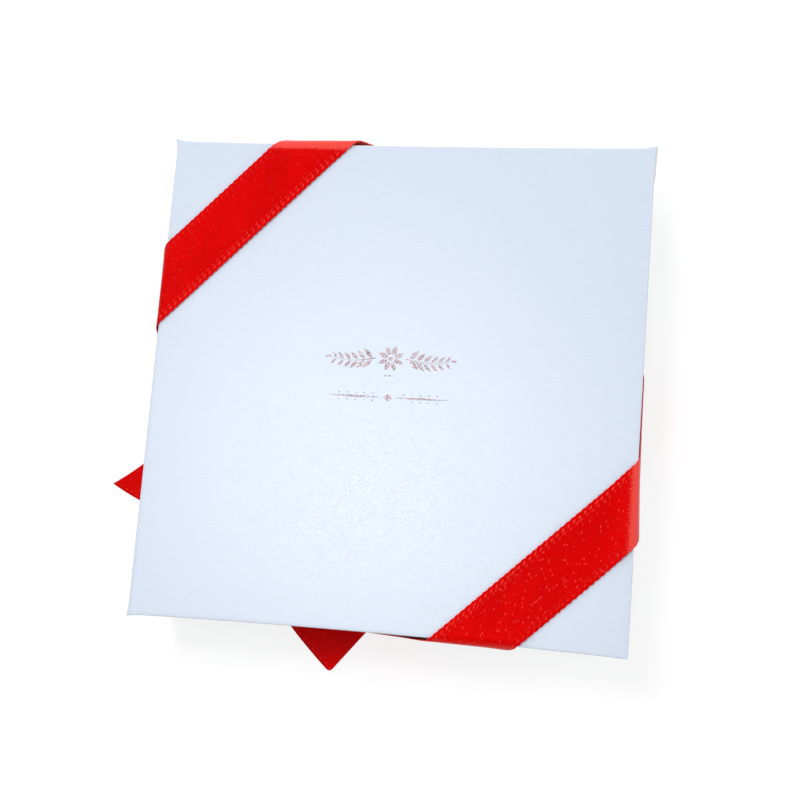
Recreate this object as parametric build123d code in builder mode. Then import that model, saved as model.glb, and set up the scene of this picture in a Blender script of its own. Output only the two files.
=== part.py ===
from build123d import *

import math
import os

# A square chocolate box: a lid over a tray, tied from corner to corner with a ribbon, with dividers,
# paper cups, chocolates and a cushion pad inside. Sizes are in millimetres. The origin is the centre of
# the tray's underside, +Z is up, and the ribbon crosses the lid at its back left and front right corners.

# Closed box
lid_side = 133.0            # outer side of the square lid, along its straight left and right walls
box_height = 28.0           # from the tray's underside to the lid's top
lid_depth = 25.0            # depth of the lid's walls, which leave the foot of the tray showing
wall_dip = 0.9              # how far the front and back walls bow inward at their middle

# Board and paper
board = 0.6                 # one layer of folding board
lid_wall = 1.2              # the lid's wall, folded in to two layers
tray_wall = 1.0             # the tray's wall, folded in to two pressed layers
liner_sheet = 0.3           # greaseproof sheet on the tray's floor
divider_board = 0.6
cup_paper = 0.25

# Folded corners of the lid
ear_reach = 0.7             # how far a corner stands out past the walls' lines
ear_length = 4.0            # length of wall over which it does
fold_radius = 0.35          # rounding of the folded top edges

# Clearances
lid_clearance = 0.4         # lid wall to tray wall, on each side
lid_headroom = 0.5          # tray rim to the underside of the lid's top
sheet_clearance = 0.4       # liner, dividers and pad to the tray's wall
slot_clearance = 0.3        # extra width of a divider's slot over the board in it
slot_overlap = 0.2          # extra depth of each slot past the middle
cup_clearance = 0.35        # rim of a cup to the cell's walls
sweet_clearance = 0.45      # chocolate to the cup's pleats
pad_clearance = 0.2         # pad to the dividers that carry it
pad_headroom = 3.6          # pad to the underside of the lid's top

# Dividers
cells = 4                   # cells along each side

# Paper cups
cup_height = 12.6
cup_flare = 2.3             # how much wider the rim's radius is than the foot's
pleats = 26
pleat_depth = 0.9

# Chocolates, by kind
dome_height = 13.4
dome_foot = 2.4
truffle_height = 14.4
truffle_seat = 6.6          # radius of the flat on which the truffle sits
swirl_height = 14.2
swirl_tier = 3.9            # height of one turn of the piped swirl
square_corner = 4.4
square_height = 11.8
heart_lobe = 5.7            # radius of the heart's two lobes
heart_spread = 10.2         # distance between the lobes' centres
heart_height = 10.8
log_width = 13.6
log_height = 12.2
hexagon_height = 12.6
hexagon_draft = 9.0         # degrees
fluted_height = 11.4
fluted_draw = 1.6           # how much narrower the fluted one's foot is than its top
flutes = 16
flute_depth = 1.0
soft_edge = 1.3             # rounding of the moulded pieces' top edges

# Cushion pad
pad_thickness = 3.2
pad_corner = 3.0
pad_edge = 1.1              # chamfer of the pad's upper edge
pad_channel_width = 1.2
pad_channel_depth = 0.7
pad_rows = 8                # quilted squares along each side

# Ribbon
ribbon_width = 16.0
ribbon_thick = 0.4
ribbon_gap = 0.1            # ribbon to the board that it lies on
left_reach = 41.8           # back left corner of the lid to the ribbon's centre line, along the left edge
back_reach = 40.3           # and along the back edge
right_reach = 38.3          # front right corner to the ribbon's centre line, along the right edge
front_reach = 39.8          # and along the front edge

# Knot, loops and tails, flat under the tray
knot_length = 10.2          # along the ribbon
knot_width = 13.0           # across it
knot_thick = 2.9
knot_corner = 2.2
knot_edge = 0.7
knot_gap = 0.1              # knot to the run of ribbon above it, and to the loops
loop_length = 30.0
loop_thick = 2.2
loop_neck = 7.0             # width of a loop where it leaves the knot
loop_shoulder = 11.0        # how far from the knot it reaches its full width
loop_drop = 0.2             # loop below the run of ribbon above it
tail_neck = 5.0             # width of a tail where it leaves the knot
tail_gap = 0.2              # tail to the knot, and half of tail to tail
left_tip = (-88.0, -29.9)   # point of the left tail's slanting cut
left_heading = 150.0        # degrees, the way in which the left tail ends
left_cut = 62.5             # degrees between its woven edge and its cut
front_tip = (-16.7, -78.8)
front_heading = -41.0
front_cut = 87.5

overrun = 2.0               # how far cuts run past what they cut

# Sizes and places that follow
lid_half = lid_side / 2
rim_z = box_height - lid_depth
lid_under = box_height - board
tray_half = lid_half - lid_wall - lid_clearance
tray_top = lid_under - lid_headroom
tray_room = tray_half - tray_wall
liner_top = board + liner_sheet
divider_top = lid_under - pad_headroom - pad_thickness - pad_clearance
divider_height = divider_top - liner_top
cell_pitch = 2 * (tray_room - wall_dip) / cells
cell_half = (cell_pitch - divider_board) / 2
cup_rim = cell_half - cup_clearance - pleat_depth / 2
cup_foot = cup_rim - cup_flare
sweet_z = liner_top + cup_paper
sweet_reach = cup_foot - pleat_depth / 2 - cup_paper - sweet_clearance
pad_z = divider_top + pad_clearance
pad_half = tray_room - wall_dip - sheet_clearance
over_z = box_height + ribbon_gap
under_z = -ribbon_gap - ribbon_thick
lid_skin = lid_half + ribbon_gap + ribbon_thick
tray_skin = tray_half + ribbon_gap + ribbon_thick
ribbon_drop = over_z + ribbon_thick - under_z
knot_z = under_z - knot_gap
rest_z = knot_z - knot_thick

os.makedirs("parts", exist_ok=True)


def write(piece, name):
    """Labels a finished piece and writes it as its own node."""
    piece.part.label = name
    export_step(piece.part, f"parts/{name}.step")


def bowed_outline(half, dip):
    """Square outline whose front and back sides bow inward, drawn in the current line."""
    ThreePointArc((half, half), (0, half - dip), (-half, half))
    Line((-half, half), (-half, -half))
    ThreePointArc((-half, -half), (0, dip - half), (half, -half))
    Line((half, -half), (half, half))


def eared_outline(half, dip):
    """The same outline with a folded ear standing out at each corner."""
    start = half - ear_length
    tip = half + ear_reach
    ThreePointArc((start, half), (0, half - dip), (-start, half))
    Polyline((-start, half), (-tip, tip), (-half, start), (-half, -start), (-tip, -tip), (-start, -half))
    ThreePointArc((-start, -half), (0, dip - half), (start, -half))
    Polyline((start, -half), (tip, -tip), (half, -start), (half, start), (tip, tip), (start, half))


def cell_places():
    """Row, column and centre of every cell, from the front left one."""
    for row in range(cells):
        for column in range(cells):
            x = (column - (cells - 1) / 2) * cell_pitch
            y = (row - (cells - 1) / 2) * cell_pitch
            yield row, column, x, y


# Lid: a shallow board cover with folded corners
with BuildPart() as lid:
    with BuildSketch(Plane.XY.offset(rim_z)):
        with BuildLine():
            eared_outline(lid_half, wall_dip)
        make_face()
    extrude(amount=lid_depth)
    fillet(lid.faces().sort_by(Axis.Z)[-1].edges(), radius=fold_radius)
    with BuildSketch(Plane.XY.offset(rim_z)):
        with BuildLine():
            bowed_outline(lid_half - lid_wall, wall_dip)
        make_face()
    extrude(amount=lid_depth - board, mode=Mode.SUBTRACT)
write(lid, "lid")

# Tray: the lower half, which the lid goes over
with BuildPart() as tray:
    with BuildSketch():
        with BuildLine():
            bowed_outline(tray_half, wall_dip)
        make_face()
    extrude(amount=tray_top)
    with BuildSketch(Plane.XY.offset(board)):
        with BuildLine():
            bowed_outline(tray_room, wall_dip)
        make_face()
    extrude(amount=tray_top, mode=Mode.SUBTRACT)
write(tray, "base_tray")

# Liner: greaseproof sheet on the floor
with BuildPart() as liner:
    with BuildSketch(Plane.XY.offset(board)):
        with BuildLine():
            bowed_outline(tray_room - sheet_clearance, wall_dip)
        make_face()
    extrude(amount=liner_sheet)
write(liner, "base_liner")


def divider(along_x, place):
    """One divider strip, slotted from the top if it runs along X and from the foot if along Y."""
    length = 2 * (tray_room - sheet_clearance - (0 if along_x else wall_dip))
    slot_width = divider_board + slot_clearance
    slot_depth = divider_height / 2 + slot_overlap
    slot_middle = divider_top - slot_depth / 2 if along_x else liner_top + slot_depth / 2
    face = Plane.XZ.offset(-place) if along_x else Plane.YZ.offset(place)
    with BuildPart() as strip:
        with BuildSketch(face):
            with Locations((0, liner_top + divider_height / 2)):
                Rectangle(length, divider_height)
            with Locations((0, slot_middle)):
                with GridLocations(cell_pitch, 0, cells - 1, 1):
                    Rectangle(slot_width, slot_depth, mode=Mode.SUBTRACT)
        extrude(amount=divider_board / 2, both=True)
    return strip


# Dividers: strips that halve into one another
for number in range(1, cells):
    place = (number - cells / 2) * cell_pitch
    write(divider(True, place), f"divider_long_{number}")
    write(divider(False, place), f"divider_cross_{number}")


def pleated(radius, depth, folds):
    """Points of a ring of sharp folds, which stand in and out of the given radius by half the depth."""
    points = []
    for step in range(2 * folds):
        reach = radius + (depth / 2 if step % 2 else -depth / 2)
        angle = math.pi * step / folds
        points.append((reach * math.cos(angle), reach * math.sin(angle)))
    return points


def paper_cup(x, y):
    """A pleated paper cup that flares from its foot to its rim, where its pleats are deepest."""
    foot = Plane((x, y, liner_top))

    def ring(height, inset):
        radius = cup_foot + cup_flare * height / cup_height - inset
        return Polygon(*pleated(radius, pleat_depth * radius / cup_rim, pleats))

    with BuildPart() as cup:
        for height in (0, cup_height):
            with BuildSketch(foot.offset(height)):
                ring(height, 0)
        loft(ruled=True)
        for height in (cup_paper, cup_height + overrun):
            with BuildSketch(foot.offset(height)):
                ring(height, cup_paper)
        loft(ruled=True, mode=Mode.SUBTRACT)
    return cup


# Paper cups, one in each cell
for row, column, x, y in cell_places():
    write(paper_cup(x, y), f"paper_cup_row{row + 1}_{column + 1}")


def upright(x, y):
    """Vertical plane through a cell's middle, for profiles that are turned about it."""
    return Plane((x, y, sweet_z), x_dir=(1, 0, 0), z_dir=(0, -1, 0))


def turn(x, y):
    """Turns the pending profile about the cell's middle."""
    revolve(axis=Axis((x, y, sweet_z), (0, 0, 1)))


def dome_chocolate(x, y):
    """A moulded dome, part of a ball, on a short straight foot."""
    rise = dome_height - dome_foot
    ball = (sweet_reach**2 + rise**2) / (2 * rise)
    edge = math.degrees(math.asin((dome_foot - (dome_height - ball)) / ball))
    with BuildPart() as sweet:
        with BuildSketch(upright(x, y)):
            with BuildLine():
                Polyline((0, dome_height), (0, 0), (sweet_reach, 0), (sweet_reach, dome_foot))
                CenterArc((0, dome_height - ball), ball, edge, 90 - edge)
            make_face()
        turn(x, y)
    return sweet


def truffle_chocolate(x, y):
    """A hand-rolled truffle, wider than high, on a small flat."""
    dip = math.acos(truffle_seat / sweet_reach)
    above = truffle_height / (1 + math.sin(dip))
    below = truffle_height - above
    with BuildPart() as sweet:
        with BuildSketch(upright(x, y)):
            with BuildLine():
                Polyline((0, truffle_height), (0, 0), (truffle_seat, 0))
                Spline(
                    (truffle_seat, 0),
                    (sweet_reach, below),
                    (sweet_reach * math.sqrt(0.5), below + above * math.sqrt(0.5)),
                    (0, truffle_height),
                    tangents=((truffle_seat, below), (-1, 0)),
                )
            make_face()
        turn(x, y)
    return sweet


def swirl_chocolate(x, y):
    """A piped swirl of three turns, each smaller than the one under it, with a point."""
    turns = 3
    step_in = sweet_reach / (turns + 1)
    with BuildPart() as sweet:
        with BuildSketch(upright(x, y)):
            with BuildLine():
                Polyline((0, swirl_height), (0, 0), (sweet_reach - swirl_tier / 2, 0))
                for turn_number in range(turns):
                    outer = sweet_reach - turn_number * step_in - swirl_tier / 2
                    low = turn_number * swirl_tier
                    ThreePointArc(
                        (outer, low), (outer + swirl_tier / 2, low + swirl_tier / 2), (outer, low + swirl_tier)
                    )
                    if turn_number < turns - 1:
                        Line((outer, low + swirl_tier), (outer - step_in, low + swirl_tier))
                Line((outer, turns * swirl_tier), (0, swirl_height))
            make_face()
        turn(x, y)
    return sweet


def square_chocolate(x, y):
    """A moulded square with rounded corners, which just fit the cup, and a soft upper edge."""
    side = 2 * (square_corner + (sweet_reach - square_corner) / math.sqrt(2))
    with BuildPart() as sweet:
        with BuildSketch(Plane((x, y, sweet_z))):
            RectangleRounded(side, side, square_corner)
        extrude(amount=square_height)
        fillet(sweet.faces().sort_by(Axis.Z)[-1].edges(), radius=soft_edge)
    return sweet


def heart_chocolate(x, y):
    """A moulded heart: two lobes, and a point that their tangents meet in."""
    lobe_x = heart_spread / 2
    lobe_y = math.sqrt((sweet_reach - heart_lobe) ** 2 - lobe_x**2)
    tip_y = -sweet_reach
    distance = math.hypot(lobe_x, lobe_y - tip_y)
    tangent = math.sqrt(distance**2 - heart_lobe**2)
    angle = math.atan2(lobe_y - tip_y, lobe_x) - math.asin(heart_lobe / distance)
    touch_x = tangent * math.cos(angle)
    touch_y = tip_y + tangent * math.sin(angle)
    with BuildPart() as sweet:
        with BuildSketch(Plane((x, y, sweet_z))):
            Polygon((0, tip_y), (touch_x, touch_y), (lobe_x, lobe_y), (-lobe_x, lobe_y), (-touch_x, touch_y))
            with Locations((lobe_x, lobe_y), (-lobe_x, lobe_y)):
                Circle(heart_lobe)
        extrude(amount=heart_height)
        fillet(sweet.faces().sort_by(Axis.Z)[-1].edges(), radius=soft_edge)
    return sweet


def log_chocolate(x, y):
    """A dipped log with round ends and a soft upper edge."""
    with BuildPart() as sweet:
        with BuildSketch(Plane((x, y, sweet_z), x_dir=(1, 1, 0), z_dir=(0, 0, 1))):
            SlotOverall(2 * sweet_reach, log_width)
        extrude(amount=log_height)
        fillet(sweet.faces().sort_by(Axis.Z)[-1].edges(), radius=2 * soft_edge)
    return sweet


def hexagon_chocolate(x, y):
    """A moulded hexagon that narrows upwards."""
    with BuildPart() as sweet:
        with BuildSketch(Plane((x, y, sweet_z))):
            RegularPolygon(sweet_reach, side_count=6)
        extrude(amount=hexagon_height, taper=hexagon_draft)
        chamfer(sweet.faces().sort_by(Axis.Z)[-1].edges(), length=soft_edge / 2)
    return sweet


def fluted_chocolate(x, y):
    """A fluted tartlet shape that widens upwards."""
    middle = sweet_reach - flute_depth / 2
    with BuildPart() as sweet:
        for height, radius in ((0, middle - fluted_draw), (fluted_height, middle)):
            with BuildSketch(Plane((x, y, sweet_z + height))):
                Polygon(*pleated(radius, flute_depth, flutes))
        loft(ruled=True)
    return sweet


# Chocolates: two of each kind, laid out over the cells from the front left one
makers = {
    "dome": dome_chocolate,
    "heart": heart_chocolate,
    "square": square_chocolate,
    "swirl": swirl_chocolate,
    "truffle": truffle_chocolate,
    "log": log_chocolate,
    "hexagon": hexagon_chocolate,
    "fluted": fluted_chocolate,
}
kinds = list(makers)
for row, column, x, y in cell_places():
    # Each row starts two kinds further on, so that a kind never lies beside itself
    place = row * cells + column
    kind = kinds[(place + row // 2 * 2) % len(kinds)]
    write(makers[kind](x, y), f"chocolate_{kind}_{place // len(kinds) + 1}")

# Cushion pad: quilted paper over the chocolates
with BuildPart() as pad:
    with BuildSketch(Plane.XY.offset(pad_z)):
        RectangleRounded(2 * pad_half, 2 * pad_half, pad_corner)
    extrude(amount=pad_thickness)
    chamfer(pad.faces().sort_by(Axis.Z)[-1].edges(), length=pad_edge)
    pad_pitch = 2 * pad_half / pad_rows
    with BuildSketch(Plane.XY.offset(pad_z + pad_thickness - pad_channel_depth)):
        with GridLocations(pad_pitch, 0, pad_rows - 1, 1):
            Rectangle(pad_channel_width, 2 * pad_half + overrun)
        with GridLocations(0, pad_pitch, 1, pad_rows - 1):
            Rectangle(2 * pad_half + overrun, pad_channel_width)
    extrude(amount=pad_channel_depth + overrun, mode=Mode.SUBTRACT)
write(pad, "cushion_pad")


def flat_run(low, corners):
    """A flat run of ribbon: its outline, from its lower face up."""
    with BuildPart() as run:
        with BuildSketch(Plane.XY.offset(low)):
            Polygon(*corners)
        extrude(amount=ribbon_thick)
    return run


# Walls that the ribbon goes down: the way out of each, and the way along it against which the ribbon goes
# down, with the centre line's place on it at the lid's top
walls = {
    "left": (Vector(-1, 0), Vector(0, 1), 2 * lid_half - left_reach - lid_skin),
    "front": (Vector(0, -1), Vector(1, 0), 2 * lid_half - front_reach - lid_skin),
    "right": (Vector(1, 0), Vector(0, -1), 2 * lid_half - right_reach - lid_skin),
    "back": (Vector(0, 1), Vector(-1, 0), 2 * lid_half - back_reach - lid_skin),
}


def crossing(wall, under):
    """Where the centre line crosses a wall's line, over the lid or under the tray."""
    outward, along, place = walls[wall]
    return outward * tray_skin + along * (place - ribbon_drop) if under else outward * lid_skin + along * place


def slant(wall, other, under):
    """Half of the length along a wall that the ribbon takes on its way to the other wall."""
    way = (crossing(other, under) - crossing(wall, under)).normalized()
    return ribbon_width / 2 / abs(way.dot(walls[wall][0]))


def run_corners(first, second, under):
    """Corners of the flat run from one wall to the next, over the lid or under the tray."""
    corners = []
    for wall, other, sides in ((first, second, (1, -1)), (second, first, (-1, 1))):
        for side in sides:
            corner = crossing(wall, under) + walls[wall][1] * slant(wall, other, under) * side
            corners.append((corner.X, corner.Y))
    return corners


# Ribbon over the lid
write(flat_run(over_z, run_corners("left", "back", False)), "ribbon_over_back_left")
write(flat_run(over_z, run_corners("right", "front", False)), "ribbon_over_front_right")

# Ribbon under the tray
write(flat_run(under_z, run_corners("left", "front", True)), "ribbon_under_front_left")
write(flat_run(under_z, run_corners("right", "back", True)), "ribbon_under_back_right")


def wall_run(wall, over_other, under_other):
    """Ribbon down one wall: over the lid's rim, in to the tray's foot, and sideways as it goes down."""
    up = Vector(0, 0, 1)
    outward, along, place = walls[wall]
    lid_face = lid_half + ribbon_gap
    tray_face = tray_half + ribbon_gap
    high = place - ribbon_thick
    low = place - ribbon_drop + ribbon_thick
    high_slant = slant(wall, over_other, False)
    low_slant = slant(wall, under_other, True)
    with BuildPart() as run:
        with BuildSketch(Plane((0, 0, 0), x_dir=outward, z_dir=outward.cross(up))):
            Polygon(
                (lid_face, over_z),
                (lid_face, rim_z),
                (tray_face, -ribbon_gap),
                (tray_skin, -ribbon_gap),
                (lid_skin, rim_z),
                (lid_skin, over_z),
            )
        extrude(amount=lid_half, both=True)
        with BuildSketch(Plane((0, 0, 0), x_dir=along, z_dir=along.cross(up))):
            Polygon(
                (high - high_slant, over_z),
                (high + high_slant, over_z),
                (low + low_slant, -ribbon_gap),
                (low - low_slant, -ribbon_gap),
            )
        extrude(amount=lid_side, dir=outward, mode=Mode.INTERSECT)
    return run


# Ribbon down the walls
write(wall_run("left", "back", "front"), "ribbon_wall_left")
write(wall_run("front", "right", "left"), "ribbon_wall_front")
write(wall_run("right", "front", "back"), "ribbon_wall_right")
write(wall_run("back", "left", "right"), "ribbon_wall_back")

# Knot, with its length along the run above it
left_crossing = crossing("left", True)
front_crossing = crossing("front", True)
knot_middle = (left_crossing + front_crossing) / 2
run_way = (left_crossing - front_crossing).normalized()
knot_place = Plane((knot_middle.X, knot_middle.Y, knot_z), x_dir=run_way, z_dir=(0, 0, 1))
with BuildPart() as knot:
    with BuildSketch(knot_place):
        RectangleRounded(knot_length, knot_width, knot_corner)
    extrude(amount=-knot_thick)
    fillet(knot.faces().sort_by(Axis.Z)[0].edges(), radius=knot_edge)
write(knot, "bow_knot")


def bow_loop(way):
    """A flattened loop of the bow, which leaves the knot narrow and widens: way is 1 or -1."""
    start = knot_length / 2 + knot_gap
    end = start + loop_length
    shoulder = start + loop_shoulder
    top = under_z - loop_drop
    middle = (knot_middle.X, knot_middle.Y, top - loop_thick / 2)
    side = Plane(middle, x_dir=run_way * way, z_dir=run_way.cross(Vector(0, 0, 1)))
    plan = Plane(middle, x_dir=run_way * way, z_dir=(0, 0, 1))
    with BuildPart() as loop:
        with BuildSketch(side):
            with Locations(((start + end) / 2, 0)):
                SlotOverall(loop_length, loop_thick)
                SlotOverall(
                    loop_length - 2 * ribbon_thick, loop_thick - 2 * ribbon_thick, mode=Mode.SUBTRACT
                )
        extrude(amount=ribbon_width / 2, both=True)
        with BuildSketch(plan):
            Polygon(
                (start, -loop_neck / 2),
                (shoulder, -ribbon_width / 2),
                (end, -ribbon_width / 2),
                (end, ribbon_width / 2),
                (shoulder, ribbon_width / 2),
                (start, loop_neck / 2),
            )
        extrude(amount=loop_thick, both=True, mode=Mode.INTERSECT)
    return loop


write(bow_loop(1), "bow_loop_left")
write(bow_loop(-1), "bow_loop_front")


def bow_tail(way, tip, heading, cut):
    """A cut tail of the bow: narrow at the knot, and curving to its heading. Way is 1 or -1."""
    forward = Vector(math.cos(math.radians(heading)), math.sin(math.radians(heading)))
    across = Vector(forward.Y, -forward.X) * way
    tip = Vector(*tip)
    slope = ribbon_width / math.tan(math.radians(cut))
    blunt = tip + across * ribbon_width - forward * slope
    reach = knot_width / 2 + tail_gap
    inner = knot_place.from_local_coords((way * tail_gap, reach, 0))
    outer = knot_place.from_local_coords((way * (tail_gap + tail_neck), reach, 0))
    with BuildPart() as tail:
        with BuildSketch(Plane.XY.offset(rest_z)):
            with BuildLine():
                TangentArc((tip.X, tip.Y), (inner.X, inner.Y), tangent=-forward)
                Line((inner.X, inner.Y), (outer.X, outer.Y))
                TangentArc((blunt.X, blunt.Y), (outer.X, outer.Y), tangent=-forward)
                Line((blunt.X, blunt.Y), (tip.X, tip.Y))
            make_face()
        extrude(amount=ribbon_thick)
    return tail


write(bow_tail(1, left_tip, left_heading, left_cut), "bow_tail_left")
write(bow_tail(-1, front_tip, front_heading, front_cut), "bow_tail_front")
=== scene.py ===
from functools import partialmethod
from math import acos, asin, atan2, cos, exp, hypot, pi, radians, sin, sqrt, tan

import bmesh
import bpy
import numpy as np
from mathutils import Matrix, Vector, noise


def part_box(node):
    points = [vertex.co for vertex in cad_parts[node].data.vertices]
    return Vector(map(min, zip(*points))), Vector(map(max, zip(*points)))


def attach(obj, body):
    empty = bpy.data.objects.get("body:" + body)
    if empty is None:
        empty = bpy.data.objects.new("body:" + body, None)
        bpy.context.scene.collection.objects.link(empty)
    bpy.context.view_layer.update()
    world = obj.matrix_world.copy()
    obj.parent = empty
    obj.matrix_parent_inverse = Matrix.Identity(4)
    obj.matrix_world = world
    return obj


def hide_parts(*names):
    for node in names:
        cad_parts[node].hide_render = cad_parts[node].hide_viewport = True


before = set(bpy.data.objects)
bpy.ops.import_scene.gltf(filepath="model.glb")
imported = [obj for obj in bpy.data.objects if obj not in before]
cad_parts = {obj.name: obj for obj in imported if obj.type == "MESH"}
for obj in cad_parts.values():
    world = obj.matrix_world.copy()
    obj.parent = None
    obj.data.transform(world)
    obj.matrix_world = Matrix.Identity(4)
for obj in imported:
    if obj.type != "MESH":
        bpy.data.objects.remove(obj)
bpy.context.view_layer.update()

# A square chocolate box: a pearl-white lid over a tray, tied from corner to corner with a red satin ribbon.
# Sizes are in millimetres and become metres where the meshes are made.
MM = 0.001

# Box
lid_half = 66.5
box_height = 28.0
rim_z = 3.0                 # the lid's open rim
board = 0.6
lid_wall = 1.2
tray_wall = 1.0
tray_half = 64.9
tray_top = 26.9
lid_fold = 0.32             # rounding of the folded edges
tray_fold = 0.45
wall_dips = (0.9, 0.0, 0.5, 0.0)      # how far the front, right, back and left sides bow inward
lid_ears = (0.35, 0.0, 0.65, 0.75)    # how far the corners stand out, anticlockwise from the front left
ear_length = 4.2
ear_power = 1.7
panel_sag = 0.2             # how far the lid's top sinks at its middle

# Ribbon
ribbon_width = 16.0
ribbon_sheet = 0.3
ribbon_drop = 29.0          # how far it runs along a wall on its way down
lid_skin = 67.0
tray_skin = 65.4
over_middle = 28.3          # middle of the ribbon's thickness over the lid
under_middle = -0.32        # and under the tray
flat_reach = 60.0           # within this distance of the box's middle it is flat
rest_z = -3.5
stitch_pitch = 1.85
band_step = 0.36
highlight_low = 22.5           # height where the painted highlight over its folds begins
highlight_rise = 3.0           # and how much higher it is full

# Knot, loops and tails
knot_size = (10.2, 13.0, 2.9)
knot_top = -0.6
pleat_pitch = 2.3
loop_reach = 30.0
loop_neck = 7.0             # width where it leaves the knot
loop_shoulder = 11.0        # how far from the knot it is full width
loop_heights = (-0.95, -2.62)
tail_neck = 5.0
tail_shoulder = 11.0

# Inside
cell_rows = 4               # cells along each side
liner_top = 0.9
cup_height = 12.6
cup_rim = 14.65
cup_foot = 12.35
cup_pleats = 26
cup_sheet = 0.16
sweet_z = 1.15
sweet_reach = 11.2
pad_half = 62.6
pad_low = 20.6
pad_thick = 3.2
pad_corner = 3.0
pad_rows = 8                # pillows along each side
pillow_steps = 12


# Points
up = np.array((0.0, 0.0, 1.0))


def columns(*parts):
    """Points from their coordinates, or other rows from their parts: arrays or single numbers."""
    return np.stack(np.broadcast_arrays(*parts), axis=-1)


def turns(count):
    """Angles round a full turn, at equal steps."""
    return 2 * pi * np.arange(count) / count


def ring(radius, angles, z):
    return columns(radius * np.cos(angles), radius * np.sin(angles), z)


def rotated(x, y, angle):
    return x * cos(angle) - y * sin(angle), x * sin(angle) + y * cos(angle)


def unit(vectors):
    return vectors / np.linalg.norm(vectors, axis=1)[:, None]


def tangents(line):
    return unit(np.gradient(line, axis=0))


def running(line, closed=False):
    """How far along a line each of its points is, and if it is closed, how long it is."""
    line = np.vstack([line, line[:1]]) if closed else line
    return np.append(0, np.cumsum(np.linalg.norm(np.diff(line, axis=0), axis=1)))


def read_at(places, lengths, line):
    """A line's values at places along it."""
    return np.stack([np.interp(places, lengths, part) for part in line.T], axis=1)


def resample(line, count):
    """A line's points, laid out anew at equal steps."""
    lengths = running(line)
    return read_at(np.linspace(0, lengths[-1], count + 1), lengths, line)


def signed_power(value, power):
    return np.sign(value) * abs(value) ** power


def rough(points):
    """Smooth noise at each of the points."""
    return np.array([noise.noise(p) for p in points.reshape(-1, 3)]).reshape(points.shape[:-1])


# Meshes
def added(name, data):
    """A new object in the scene."""
    found = bpy.data.objects.new(name, data)
    bpy.context.scene.collection.objects.link(found)
    return found


def make(name, points, faces, material, body, slot=None, replaces=(), sharp=40, smooth=True, values=None):
    """A piece from points in millimetres, riding on a body of the frame. Its values, one for each point, are
    what its material reads by name."""
    mesh = bpy.data.meshes.new(name)
    mesh.from_pydata((np.asarray(points) * MM).tolist(), [], faces)
    for key, given in (values or {}).items():
        given = np.asarray(given, np.float32)
        kind, field = ("FLOAT", "value") if given.ndim == 1 else ("FLOAT_VECTOR", "vector")
        mesh.attributes.new(key, kind, "POINT").data.foreach_set(field, given.ravel())
    mesh.materials.append(material)
    mesh.validate()
    solid = bmesh.new()
    solid.from_mesh(mesh)
    bmesh.ops.recalc_face_normals(solid, faces=solid.faces)
    solid.to_mesh(mesh)
    solid.free()
    if smooth:
        mesh.shade_smooth()
        mesh.set_sharp_from_angle(angle=radians(sharp))
    piece = added(name, mesh)
    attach(piece, body)
    if replaces:
        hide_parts(*replaces)
    return piece


def skin(rings):
    """Points and faces of a closed body: rings of points, and a first and a last single point."""
    count = len(rings[1])
    points = np.vstack([rings[0], *rings[1:-1], rings[-1]])
    last = len(points) - 1
    faces = []
    for step in range(count):
        after = (step + 1) % count
        faces += [(0, 1 + after, 1 + step), (last - count + step, last - count + after, last)]
        for low in range(1, last - count, count):
            faces.append((low + step, low + after, low + count + after, low + count + step))
    return points, faces


def sheet_body(upper, lower, closed=False):
    """Points and faces of a thin sheet: two grids of points, joined round their border. A closed one is a
    band, whose last row meets its first."""
    shift = upper[:, :, 0].size
    grid = np.arange(shift).reshape(upper.shape[:2])
    if closed:
        grid = np.vstack([grid, grid[:1]])
    a, b, c, d = grid[:-1, :-1], grid[:-1, 1:], grid[1:, 1:], grid[1:, :-1]
    faces = [columns(a, b, c, d), columns(a, d, c, b) + shift]
    borders = [grid[::-1, 0], grid[:, -1]] + ([] if closed else [grid[0], grid[-1, ::-1]])
    faces += [columns(line[:-1], line[:-1] + shift, line[1:] + shift, line[1:]) for line in borders]
    faces = np.vstack([face.reshape(-1, 4) for face in faces]).tolist()
    return np.vstack([upper.reshape(-1, 3), lower.reshape(-1, 3)]), faces


# Node trees
class Field:
    """An output of a node. Arithmetic on it adds math nodes to its tree."""

    def __init__(self, socket):
        self.socket = socket
        self.tree = socket.id_data

    def math(self, operation, other=0.0):
        return node(self.tree, "Math", {0: self, 1: other}, operation=operation)

    __add__ = partialmethod(math, "ADD")
    __sub__ = partialmethod(math, "SUBTRACT")
    __mul__ = partialmethod(math, "MULTIPLY")
    __truediv__ = partialmethod(math, "DIVIDE")
    __abs__ = partialmethod(math, "ABSOLUTE")

    def __rsub__(self, other):
        return node(self.tree, "Math", {0: other, 1: self}, operation="SUBTRACT")

    def ramp(self, low, high, to_low=0.0, to_high=1.0):
        """Goes softly from to_low to to_high, while this goes from low to high."""
        limits = {"Value": self, "From Min": low, "From Max": high, "To Min": to_low, "To Max": to_high}
        return node(self.tree, "MapRange", limits, clamp=True, interpolation_type="SMOOTHSTEP")

    def mix(self, a, b):
        """Goes from colour a to colour b, while this goes from 0 to 1."""
        return node(self.tree, "Mix", {0: self, 6: rgba(a), 7: rgba(b)}, 2, data_type="RGBA")


def rgba(colour):
    return colour if isinstance(colour, Field) else (*colour, 1.0)


def node(tree, kind, inputs, output=0, **settings):
    """Adds a node and gives one of its outputs. Its inputs are given by name or number."""
    made = tree.nodes.new("ShaderNode" + kind)
    for key, value in settings.items():
        setattr(made, key, value)
    for key, value in inputs.items():
        if isinstance(value, Field):
            tree.links.new(value.socket, made.inputs[key])
        else:
            made.inputs[key].default_value = value
    return Field(made.outputs[output]) if made.outputs else None


def cleared(owner):
    """The empty node tree of a material or world."""
    owner.use_nodes = True
    owner.node_tree.nodes.clear()
    return owner.node_tree


def shader(name):
    material = bpy.data.materials.new(name)
    return material, cleared(material)


def stretched(vector, *scale):
    return node(vector.tree, "Mapping", {"Vector": vector, "Scale": scale})


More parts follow.
